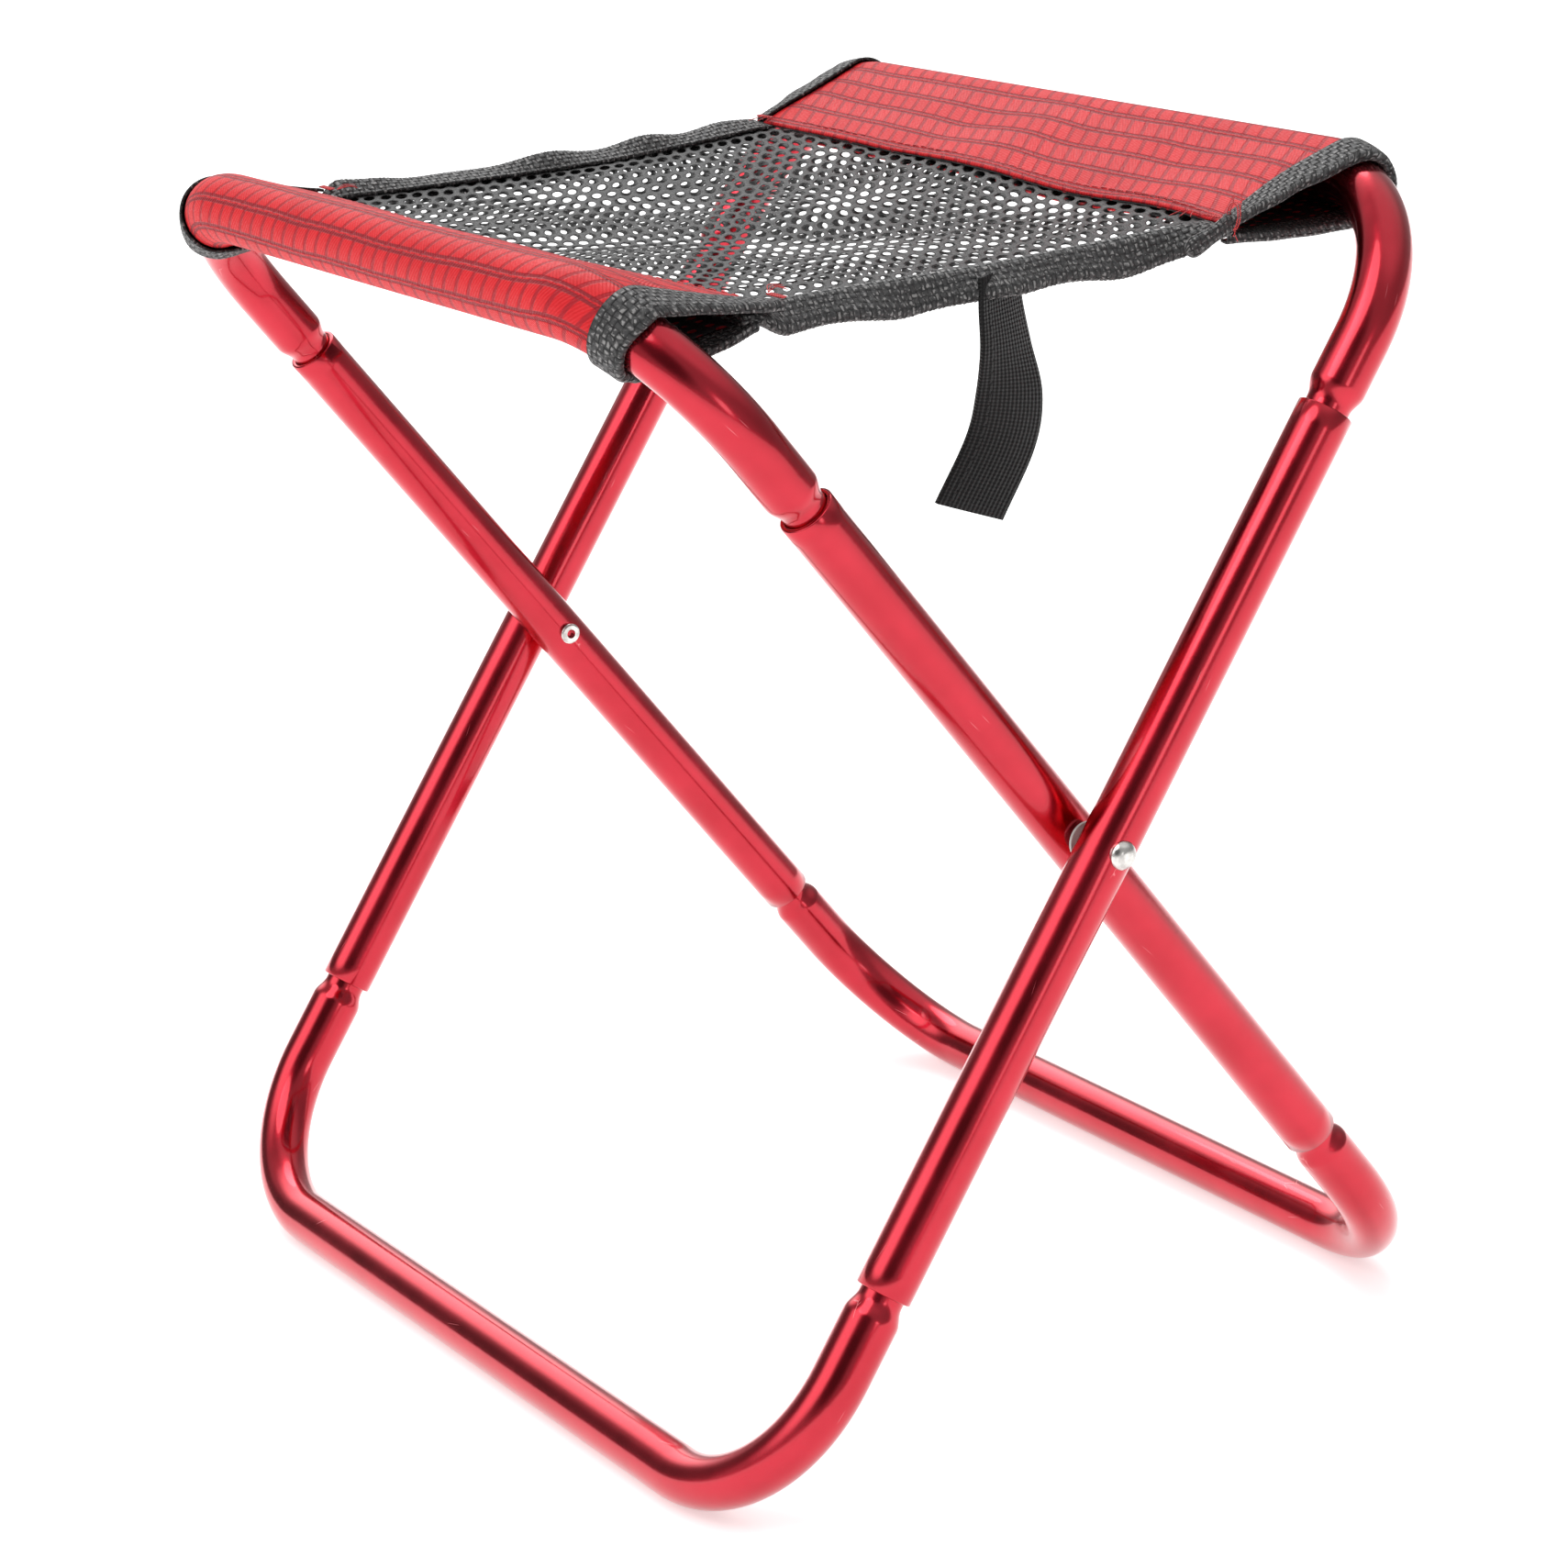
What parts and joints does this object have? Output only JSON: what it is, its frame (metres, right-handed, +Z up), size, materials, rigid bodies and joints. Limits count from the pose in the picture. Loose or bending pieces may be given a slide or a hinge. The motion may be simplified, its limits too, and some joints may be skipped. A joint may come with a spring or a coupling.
{
  "type": "folding camp stool",
  "caption": "Folding camp stool with crossed red tube frames, a slung mesh seat in red cloth sleeves, black edge tape and a closing strap.",
  "frame": {"origin": "on the floor under the middle of the open stool, at the bottom centre of its bounding box", "axes": "+Z up, X along the spread of the legs with the outer frame's seat rail at +X, Y along the seat rails, -Y the side with the closing strap"},
  "size_m": [0.2108, 0.2746, 0.2805],
  "materials": {
    "red_anodised_tube": "glossy red anodised, with pink highlights and small scratches on the bends",
    "rivet_steel": "polished zinc plated steel",
    "washer_nylon": "plain black nylon",
    "red_ripstop": "coated polyester with ribbed double lines",
    "black_mesh": "knitted open mesh",
    "black_tape": "coarse woven binding tape",
    "strap_webbing": "fine ribbed webbing",
    "red_thread": "sewing thread"
  },
  "bodies": {
    "outer_frame": {"outer_seat_rail": "red_anodised_tube", "outer_foot_rail": "red_anodised_tube", "outer_leg_front": "red_anodised_tube", "outer_leg_rear": "red_anodised_tube", "seat_sleeve_outer": "red_ripstop", "seam_stitches_outer": "red_thread", "mouth_binding_outer_front": "black_tape", "mouth_binding_outer_rear": "black_tape", "pivot_rivet_front": "rivet_steel", "pivot_washer_front": "washer_nylon", "edge_binding_front": "black_tape", "pivot_rivet_rear": "rivet_steel", "pivot_washer_rear": "washer_nylon", "edge_binding_rear": "black_tape", "seat_mesh_top": "black_mesh", "seat_mesh_bottom": "black_mesh", "closing_strap": "strap_webbing", "corner_bar_tacks": "red_thread", "binding_tail": "black_tape"},
    "inner_frame": {"inner_seat_rail": "red_anodised_tube", "inner_foot_rail": "red_anodised_tube", "inner_leg_front": "red_anodised_tube", "inner_leg_rear": "red_anodised_tube", "seat_sleeve_inner": "red_ripstop", "seam_stitches_inner": "red_thread", "mouth_binding_inner_front": "black_tape", "mouth_binding_inner_rear": "black_tape"}
  },
  "joints": [
    {"name": "fold", "type": "hinge", "parent": "outer_frame", "child": "inner_frame", "pos_m": [0, 0, 0.14051], "axis": [0, 1, 0], "range_deg": [0, 65.8], "deforming": ["seat_sleeve_outer", "seam_stitches_outer", "mouth_binding_outer_front", "mouth_binding_outer_rear", "seat_sleeve_inner", "seam_stitches_inner", "mouth_binding_inner_front", "mouth_binding_inner_rear", "edge_binding_front", "edge_binding_rear", "seat_mesh_top", "seat_mesh_bottom", "closing_strap", "corner_bar_tacks", "binding_tail"]}
  ]
}
